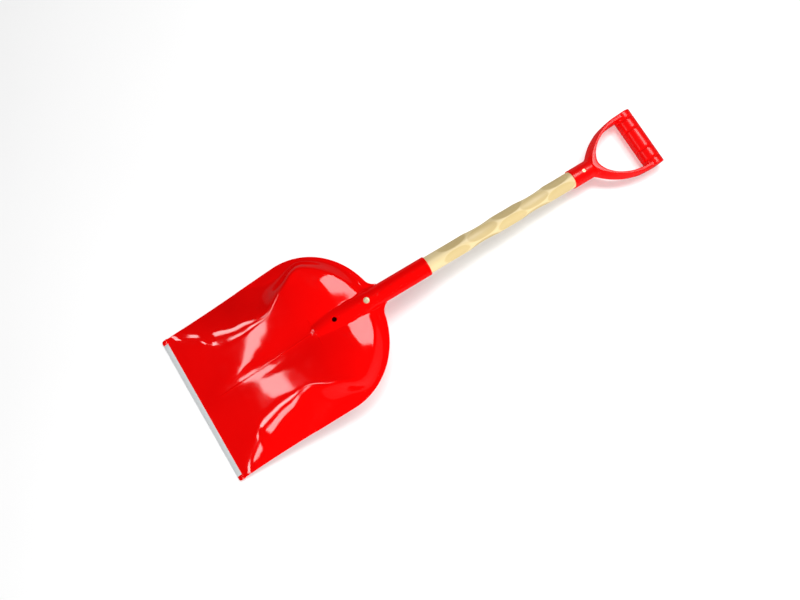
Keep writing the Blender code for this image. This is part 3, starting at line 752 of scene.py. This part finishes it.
# Stations of the D, from the yoke to an arm's end, in mm from the grip's mouth along and across:
# inner edge, outer edge of the flat top face, and outline at mid depth
STATIONS = [((61.4, 0.0), (48.0, 0.0), (24.0, 0.0)),
            ((62.2, 5.0), (50.0, 6.5), (29.0, 8.5)),
            ((64.3, 11.0), (53.8, 12.5), (37.0, 15.0)),
            ((68.6, 19.0), (60.0, 20.8), (47.0, 20.5)),
            ((75.0, 26.6), (68.2, 28.4), (56.2, 29.0)),
            ((83.0, 33.7), (77.2, 35.6), (67.0, 37.7)),
            ((91.5, 39.3), (86.4, 42.2), (79.0, 45.2)),
            ((104.5, 45.5), (100.0, 50.2), (95.2, 53.1)),
            ((118.0, 50.0), (115.2, 56.3), (112.6, 58.3)),
            ((134.0, 52.3), (132.5, 60.7), (131.5, 62.0)),
            ((147.0, 52.8), (147.0, 62.0), (147.0, 62.4)),
            ((160.0, 52.8), (160.0, 62.2), (160.0, 62.4)),
            ((172.0, 52.8), (172.0, 62.2), (172.0, 62.4))]


QUARTER = (0, 22.5, 45, 67.5, 90)  # degrees, steps round a rounded edge

# The crossbar's grooves: places along it, depth, and shape as (mm along, part of the depth)
GROOVES = (46.5 * MM, 23.0 * MM, -23.0 * MM, -46.5 * MM)
GROOVE_DEPTH = 0.55 * MM
GROOVE_SHAPE = ((1.0, 0), (0.45, 0.7), (0, 1), (-0.45, 0.7), (-1.0, 0))


def grip_section(inner, top, middle):
    """One closed section of the D between its inner wall and its flared outer side."""
    half = GRIP_DEPTH / 2
    near = 1.4 * MM
    far = 1.8 * MM
    roundness = 0.55
    out = (top - inner).normalized()
    upper = []
    for turn in np.radians(QUARTER):
        spot = inner + out * (near * (1 - math.cos(turn)))
        upper.append((spot.x, spot.y, half - near + near * math.sin(turn)))
    spot = (inner + top) / 2
    upper.append((spot.x, spot.y, half))
    for turn in np.radians(QUARTER[:0:-1]):
        spot = top - out * (far * (1 - math.cos(turn)))
        upper.append((spot.x, spot.y, half - far + far * math.sin(turn)))
    for t in np.linspace(0, 1, 9)[1:]:
        spot = top + (middle - top) * (roundness * t * (2 - t) + (1 - roundness) * t)
        upper.append((spot.x, spot.y, (half - far) * (1 - t)))
    lower = [(a, b, -c) for a, b, c in reversed(upper[:-1])]
    return upper + lower


def socket_tool():
    """The grip's socket, narrowing behind the shaft's end."""
    profile = rounded([(0, 17.4 * MM), (0, GRIP_RADIUS), (30 * MM, GRIP_RADIUS), (46.5 * MM, GRIP_RADIUS),
                       (49 * MM, GRIP_RADIUS - 4.4 * MM), (58.5 * MM, GRIP_RADIUS - 8 * MM)],
                      [0.9 * MM, 0, 2.2 * MM, 1.4 * MM])
    socket = turned("socket_tool", profile)
    socket.matrix_world = axis_matrix(GRIP_MOUTH)
    return socket


def bar_tool():
    """The grooved crossbar, with rounded ends."""
    half = GRIP_HALF - 0.05 * MM
    edge = 1.6 * MM
    cap = 4 * MM
    spots = [(half - edge, 0)]
    for mark in GROOVES:
        spots += [(mark + shift * MM, cut) for shift, cut in GROOVE_SHAPE]
    spots.append((-half + edge, 0))
    grooved = []
    for (x0, cut0), (x1, cut1) in zip(spots[:-1], spots[1:]):
        count = max(1, round((x0 - x1) / (4 * MM)))
        for k in range(count):
            t = k / count
            grooved.append((x0 + (x1 - x0) * t, BAR_RADIUS - GROOVE_DEPTH * (cut0 + (cut1 - cut0) * t)))
    left_end = [(-half, BAR_RADIUS - cap), (-half, BAR_RADIUS), (-half + cap, BAR_RADIUS)]
    right_end = [(half - cap, BAR_RADIUS), (half, BAR_RADIUS), (half, BAR_RADIUS - cap)]
    profile = rounded(left_end, [edge])[:-1] + grooved[:0:-1] + rounded(right_end, [edge])[1:]
    bar = turned("bar_tool", profile)
    bar.matrix_world = (Matrix.Translation((BAR_ALONG, 0, axis_height(BAR_ALONG)))
                        @ Matrix.Rotation(math.pi / 2, 4, "Z"))
    return bar


def grip_cutters():
    """The shaft's stepped bore, and the countersunk hole for the grip's screw."""
    mouth = SHAFT_RADIUS + 0.8 * MM
    wide = SHAFT_RADIUS + FIT_GAP
    narrow = SPIGOT_RADIUS + FIT_GAP
    bore = turned("grip_bore_tool", [(-10 * MM, mouth), (-0.2 * MM, mouth), (0.3 * MM, wide),
                                     (SPIGOT_START, wide), (SPIGOT_START + STEP_BACK, narrow),
                                     (SPIGOT_END + FIT_GAP, narrow)])
    bore.matrix_world = axis_matrix(GRIP_MOUTH)
    hole = 2.0 * MM
    seat = turned("grip_seat_tool", [(SPIGOT_RADIUS - MM, hole), (GRIP_HEAD_SEAT, hole),
                                     (GRIP_HEAD_SEAT + 2 * MM, 4.0 * MM), (GRIP_RADIUS - 0.3 * MM, 4.2 * MM),
                                     (GRIP_RADIUS + 0.1 * MM, 4.7 * MM), (30 * MM, 8 * MM)], sides=48)
    seat.matrix_world = upright_matrix(grip_along(GRIP_SCREW), 0)
    return [bore, seat]


def make_grip(material):
    """D-grip in one moulding: socket, yoke, two arms and crossbar."""
    tracks = [smooth_path([Vector(s[k]) * MM for s in STATIONS], per_span=6) for k in range(3)]
    sections = [grip_section(*spot) for spot in zip(*tracks)]
    mirrored = [[(a, -b, c) for a, b, c in section] for section in reversed(sections[1:])]
    points = [p for section in mirrored + sections for p in section]
    grip = rings("d_grip", points, len(sections[0]), material)
    grip.matrix_world = axis_matrix(GRIP_MOUTH)
    shape_by(grip, [socket_tool(), bar_tool()], "UNION")
    shape_by(grip, grip_cutters(), "DIFFERENCE")
    mark_points(grip, "satin", np.ones(len(grip.data.vertices)))
    finish_piece(grip, "red_plastic", "grip")


def cross_recess(reach, half, depth):
    """A tapering cross, for driving a screw."""
    outline = []
    for quarter in range(4):
        turn = quarter * math.pi / 2
        for x, y in ((reach, -half), (reach, half), (half, half)):
            outline.append((x * math.cos(turn) - y * math.sin(turn), x * math.sin(turn) + y * math.cos(turn)))
    points = []
    for level, scale in ((1.0 * MM, 1.15), (0, 1.0), (-depth, 0.55)):
        points += [(x * scale, y * scale, level) for x, y in outline]
    return rings("recess_tool", points, len(outline))


def threaded_shank(pitch, root, crest, flank):
    """Profile of a pointed shank with nine ridges."""
    profile = [(0, 0.6 * MM), (3 * MM, crest)]
    for k in range(9):
        start = 4 * MM + k * pitch
        profile += [(start, root), (start + flank, crest), (start + flank + 0.2 * MM, crest),
                    (start + pitch - 0.2 * MM, root)]
    return profile


def make_screw(name, profile, top, recess, sides, material):
    """A screw along its own X axis, with a cross recess in its top."""
    screw = turned(name, profile, material, sides)
    recess.matrix_world = Matrix.Translation((top, 0, 0)) @ Matrix.Rotation(math.pi / 2, 4, "Y")
    shape_by(screw, [recess], "DIFFERENCE")
    return screw


def make_blade_screw(material):
    """Pan-head screw through the tube into the shaft."""
    seat = BLADE_HEAD_SEAT - BLADE_SCREW_TIP + FIT_GAP
    under = seat + STEP_BACK
    top = seat + 2.8 * MM
    head = rounded([(under, 5.6 * MM), (under, 6 * MM), (seat + 2.2 * MM, 5.5 * MM), (top, 3.0 * MM),
                    (top, 0.3 * MM)], [0.25 * MM, 1.1 * MM, 1.2 * MM], 6)
    profile = threaded_shank(1.5 * MM, 1.7 * MM, 2.0 * MM, 0.55 * MM) + [(seat, 2.0 * MM)] + head
    recess = cross_recess(2.6 * MM, 0.55 * MM, 1.5 * MM)
    screw = make_screw("blade_screw_head", profile, top, recess, 64, material)
    screw.matrix_world = upright_matrix(SCREW_ALONG, BLADE_SCREW_TIP)
    finish_piece(screw, "zinc_steel", "blade_screw")


def make_grip_screw(material):
    """Countersunk screw, sunk in the grip's socket."""
    seat = GRIP_HEAD_SEAT - GRIP_SCREW_TIP
    top = seat + 2.5 * MM
    head = rounded([(seat, 1.7 * MM), (seat + 1.9 * MM, 3.6 * MM), (seat + 2.4 * MM, 3.5 * MM),
                    (top, 0.3 * MM)], [0.2 * MM, 0.2 * MM], 4)
    profile = threaded_shank(1.4 * MM, 1.45 * MM, 1.7 * MM, 0.5 * MM) + head
    recess = cross_recess(1.8 * MM, 0.45 * MM, 1.1 * MM)
    screw = make_screw("grip_screw_head", profile, top, recess, 48, material)
    screw.matrix_world = upright_matrix(grip_along(GRIP_SCREW), GRIP_SCREW_TIP)
    finish_piece(screw, "zinc_steel", "grip_screw")


# ---------------------------------------------------------------- materials

class Surface:
    """A node material with short calls for what the finishes below need."""

    def __init__(self, name):
        self.material = bpy.data.materials.new(name)
        self.material.use_nodes = True
        self.tree = self.material.node_tree
        self.shader = self.tree.nodes["Principled BSDF"]

    def node(self, kind, **values):
        made = self.tree.nodes.new(kind)
        for key, value in values.items():
            setattr(made, key, value)
        return made

    def feed(self, socket, value):
        if isinstance(value, bpy.types.NodeSocket):
            self.tree.links.new(value, socket)
        else:
            socket.default_value = value

    def place(self, scale):
        """Object coordinates, stretched."""
        spot = self.node("ShaderNodeTexCoord")
        stretch = self.node("ShaderNodeMapping")
        self.feed(stretch.inputs["Vector"], spot.outputs["Object"])
        stretch.inputs["Scale"].default_value = scale
        return stretch.outputs["Vector"]

    def noise(self, stretch, scale, detail=3.0, rough=0.5, warp=0.0):
        made = self.node("ShaderNodeTexNoise")
        self.feed(made.inputs["Vector"], self.place(stretch))
        made.inputs["Scale"].default_value = scale
        made.inputs["Detail"].default_value = detail
        made.inputs["Roughness"].default_value = rough
        made.inputs["Distortion"].default_value = warp
        return made.outputs["Fac"]

    def remap(self, value, low, high, out_low=0.0, out_high=1.0):
        made = self.node("ShaderNodeMapRange")
        for key, number in (("Value", value), ("From Min", low), ("From Max", high),
                            ("To Min", out_low), ("To Max", out_high)):
            self.feed(made.inputs[key], number)
        return made.outputs["Result"]

    def math(self, operation, a, b):
        made = self.node("ShaderNodeMath", operation=operation)
        self.feed(made.inputs[0], a)
        self.feed(made.inputs[1], b)
        return made.outputs[0]

    def mix(self, factor, a, b):
        made = self.node("ShaderNodeMix", data_type="RGBA")
        self.feed(made.inputs[0], factor)
        for socket, value in ((made.inputs[6], a), (made.inputs[7], b)):
            self.feed(socket, value if isinstance(value, bpy.types.NodeSocket) else (*value, 1.0))
        return made.outputs[2]

    def stored(self, name):
        """A value that mark_points put on the mesh, or 0 where it didn't."""
        return self.node("ShaderNodeAttribute", attribute_name=name).outputs["Fac"]

    def bump(self, height, distance, below=None):
        made = self.node("ShaderNodeBump")
        made.inputs["Distance"].default_value = distance
        self.feed(made.inputs["Height"], height)
        if below:
            self.feed(made.inputs["Normal"], below)
        return made.outputs["Normal"]

    def set(self, **values):
        for key, value in values.items():
            self.feed(self.shader.inputs[key.replace("_", " ")], value)


EVEN = (1, 1, 1)


def red_plastic():
    """Glossy moulded plastic with faint flow marks and hairline rubs; satin on the grip, with painted shade
    darkening the bore.
    """
    look = Surface("red_plastic")
    cloud = look.remap(look.noise(EVEN, 9, 3), 0.35, 0.65)
    grain = look.remap(look.noise(EVEN, 420, 2), 0.3, 0.7)
    color = look.mix(cloud, (0.75, 0.0007, 0.0006), (0.80, 0.0010, 0.0008))
    color = look.mix(look.math("MULTIPLY", grain, 0.1), color, (0.62, 0.0006, 0.0005))
    rubs = look.remap(look.noise((9, 1, 5), 55, 4, 0.65, 0.6), 0.62, 0.72)
    rough = look.remap(look.noise(EVEN, 60, 3), 0.3, 0.7, 0.035, 0.065)
    rough = look.math("ADD", rough, look.math("MULTIPLY", rubs, 0.05))
    # painted shade: the bore's walls are coloured near black, in place of the shadow that the shadowless side
    # light leaves out
    color = look.mix(look.stored("inside"), color, (0.03, 0.0003, 0.0003))
    rough = look.math("ADD", rough, look.math("MULTIPLY", look.stored("satin"), 0.2))
    wave = look.bump(look.noise(EVEN, 16, 1), 0.0005)
    fine = look.bump(look.noise(EVEN, 700, 2), 0.000006, wave)
    look.set(Base_Color=color, Roughness=rough, Normal=fine, IOR=1.46)
    return look.material


def varnished_wood():
    """Pale varnished hardwood, its grain along the shaft, lighter on the ridges between the facets."""
    look = Surface("varnished_wood")
    figure = look.remap(look.noise((1.2, 14, 14), 3.2, 3, 0.5, 0.6), 0.3, 0.7)
    fibre = look.remap(look.noise((2, 120, 120), 3.5, 3, 0.6, 0.2), 0.3, 0.7)
    pores = look.remap(look.noise((14, 420, 420), 2.4, 2, 0.5), 0.64, 0.78)
    color = look.mix(figure, (0.53, 0.405, 0.185), (0.58, 0.45, 0.215))
    color = look.mix(look.math("MULTIPLY", fibre, 0.10), color, (0.46, 0.34, 0.15))
    color = look.mix(look.math("MULTIPLY", pores, 0.05), color, (0.46, 0.33, 0.15))
    color = look.mix(look.math("MULTIPLY", look.stored("ridge"), 0.6), color, (0.74, 0.61, 0.35))
    rough = look.remap(fibre, 0, 1, 0.36, 0.46)
    look.set(Base_Color=color, Roughness=rough, Normal=look.bump(fibre, 0.000004),
             Coat_Weight=0.2, Coat_Roughness=0.25)
    return look.material


def aluminium():
    """Satin sheet metal, brushed along the edge."""
    look = Surface("aluminium")
    brush = look.remap(look.noise((340, 6, 340), 4, 3, 0.6), 0.3, 0.7)
    cloud = look.remap(look.noise((3, 1, 3), 22, 3), 0.3, 0.7)
    nicks = look.remap(look.noise((1, 3, 1), 190, 2, 0.6, 1.0), 0.66, 0.72)
    color = look.mix(brush, (0.80, 0.83, 0.84), (0.90, 0.92, 0.92))
    color = look.mix(look.math("MULTIPLY", cloud, 0.3), color, (0.72, 0.76, 0.77))
    rough = look.remap(brush, 0, 1, 0.36, 0.52)
    height = look.math("SUBTRACT", look.math("MULTIPLY", brush, 0.4), nicks)
    look.set(Base_Color=color, Metallic=0.45, Roughness=rough, Normal=look.bump(height, 0.00006))
    return look.material


def zinc_steel():
    """Yellow-passivated zinc plating."""
    look = Surface("zinc_steel")
    cloud = look.remap(look.noise(EVEN, 260, 3), 0.35, 0.65)
    grain = look.remap(look.noise(EVEN, 1500, 2), 0.3, 0.7)
    color = look.mix(cloud, (0.80, 0.66, 0.38), (0.90, 0.80, 0.56))
    rough = look.remap(grain, 0, 1, 0.32, 0.48)
    look.set(Base_Color=color, Metallic=0.5, Roughness=rough, Normal=look.bump(grain, 0.00002))
    return look.material


def pale_floor():
    """Matt white, darker to mirror rays so that the scoop's walls keep their colour."""
    look = Surface("pale_floor")
    cloud = look.remap(look.noise(EVEN, 1.4, 4), 0.3, 0.7)
    color = look.mix(cloud, (0.90, 0.90, 0.90), (0.93, 0.93, 0.93))
    mirrored = look.node("ShaderNodeLightPath").outputs["Is Glossy Ray"]
    color = look.mix(mirrored, color, (0.10, 0.10, 0.10))
    look.set(Base_Color=color, Roughness=0.85, Specular_IOR_Level=0.1)
    return look.material


# ---------------------------------------------------------------- stage, light and camera

def make_floor():
    size = 6.0  # half its side, in metres
    points = [(-size, -size, 0), (size, -size, 0), (size, size, 0), (-size, size, 0)]
    floor = add_mesh("floor", points, [(0, 1, 2, 3)], pale_floor())


def soft_light(name, spot, target, wide, tall, radiance, glossy=True):
    """A rectangular light of even radiance, turned to a target."""
    data = bpy.data.lights.new(name, "AREA")
    data.shape = "RECTANGLE"
    data.size = wide
    data.size_y = tall
    data.energy = radiance * wide * tall * math.pi
    result = bpy.data.objects.new(name, data)
    bpy.context.collection.objects.link(result)
    result.location = spot
    result.rotation_mode = "QUATERNION"
    result.rotation_quaternion = (Vector(target) - Vector(spot)).to_track_quat("-Z", "Y")
    result.visible_glossy = glossy
    result.visible_camera = False
    return result


WORLD_LEVEL = 0.19
MIRRORED_LEVEL = 0.02           # what mirror rays see of it


def make_world():
    """An even white world that hardly shows in reflections."""
    world = bpy.data.worlds.new("studio")
    world.use_nodes = True
    tree = world.node_tree
    back = tree.nodes["Background"]
    back.inputs["Color"].default_value = (1, 1, 1, 1)
    ray = tree.nodes.new("ShaderNodeLightPath")
    level = tree.nodes.new("ShaderNodeMapRange")
    level.inputs["To Min"].default_value = WORLD_LEVEL
    level.inputs["To Max"].default_value = MIRRORED_LEVEL
    tree.links.new(ray.outputs["Is Glossy Ray"], level.inputs["Value"])
    tree.links.new(level.outputs["Result"], back.inputs["Strength"])
    bpy.context.scene.world = world


CAMERA_SPOT = (413.1, -164.6, 1239.1)  # mm: along, across, above the ground
CAMERA_TURN = (-6.65, -1.65, -1.29)    # degrees, from straight down
CAMERA_ROLL = 30.5
CAMERA_LENS = 28.125                   # mm, on a sensor 36 mm wide


def make_camera():
    data = bpy.data.cameras.new("camera")
    data.sensor_width = 36.0
    data.lens = CAMERA_LENS
    data.clip_start = 50 * MM
    camera = bpy.data.objects.new("camera", data)
    bpy.context.collection.objects.link(camera)
    turn = Vector([math.radians(a) for a in CAMERA_TURN])
    lean = Matrix.Rotation(turn.length, 3, turn)
    rows = lean @ Matrix(((1, 0, 0), (0, -1, 0), (0, 0, -1)))
    roll = math.radians(CAMERA_ROLL)
    right = rows[0] * math.cos(roll) + rows[1] * math.sin(roll)
    down = rows[1] * math.cos(roll) - rows[0] * math.sin(roll)
    ahead = rows[2]
    facing = Matrix((right, -down, -ahead)).transposed()
    camera.matrix_world = Matrix.Translation(ORIGIN + Vector(CAMERA_SPOT) * MM) @ facing.to_4x4()
    bpy.context.scene.camera = camera


SCOOP_CENTER = Vector((-0.36, 0, 0.065))  # in the row's frame, in metres
REAR_CENTER = Vector((-0.15, 0, 0.09))
GRIP_CENTER = Vector((0.40, 0, 0.04))
PANEL_DISTANCE = 2.6

# Bright panels: name, place seen from, azimuth, elevation, width and height in degrees, radiance
PANELS = [("window", SCOOP_CENTER, 169.0, 36.6, 11.0, 3.4, 10.0),
          ("left_slit", SCOOP_CENTER, 187.0, 36.3, 3.2, 3.6, 14.0),
          ("right_slit", SCOOP_CENTER, 155.2, 33.6, 3.0, 3.6, 14.0),
          ("left_panel", SCOOP_CENTER, 198.0, 35.6, 6.0, 4.4, 10.0),
          ("right_panel", SCOOP_CENTER, 146.0, 28.8, 3.6, 4.4, 12.0),
          ("rear_panel", REAR_CENTER, 14.5, 54.0, 22.0, 13.0, 9.0),
          ("grip_panel", GRIP_CENTER, 12.0, 53.7, 14.0, 10.0, 6.0)]


def make_lights():
    """A key light from above, a shadowless one from the side, and panels that make the highlights."""
    soft_light("key", (0.6, 0.9, 2.7), (0, 0, 0), 0.8, 0.8, 17.0, glossy=False)
    side = soft_light("side", (-0.1, -2.4, 1.05), (-0.1, 0, 0.05), 3.2, 0.8, 11.5, glossy=False)
    side.data.use_shadow = False
    for name, center, azimuth, elevation, wide, tall, radiance in PANELS:
        turn = math.radians(azimuth)
        lift = math.radians(elevation)
        away = Vector((math.cos(turn) * math.cos(lift), math.sin(turn) * math.cos(lift), math.sin(lift)))
        width = PANEL_DISTANCE * math.radians(wide)
        height = PANEL_DISTANCE * math.radians(tall)
        soft_light(name, center + away * PANEL_DISTANCE, center, width, height, radiance)


def main():
    red = red_plastic()
    zinc = zinc_steel()
    make_camera()
    make_world()
    make_floor()
    make_lights()
    make_scoop(red)
    make_strip(aluminium())
    make_shaft(varnished_wood())
    make_grip(red)
    make_blade_screw(zinc)
    make_grip_screw(zinc)
    bpy.context.scene.view_settings.view_transform = "Standard"


main()
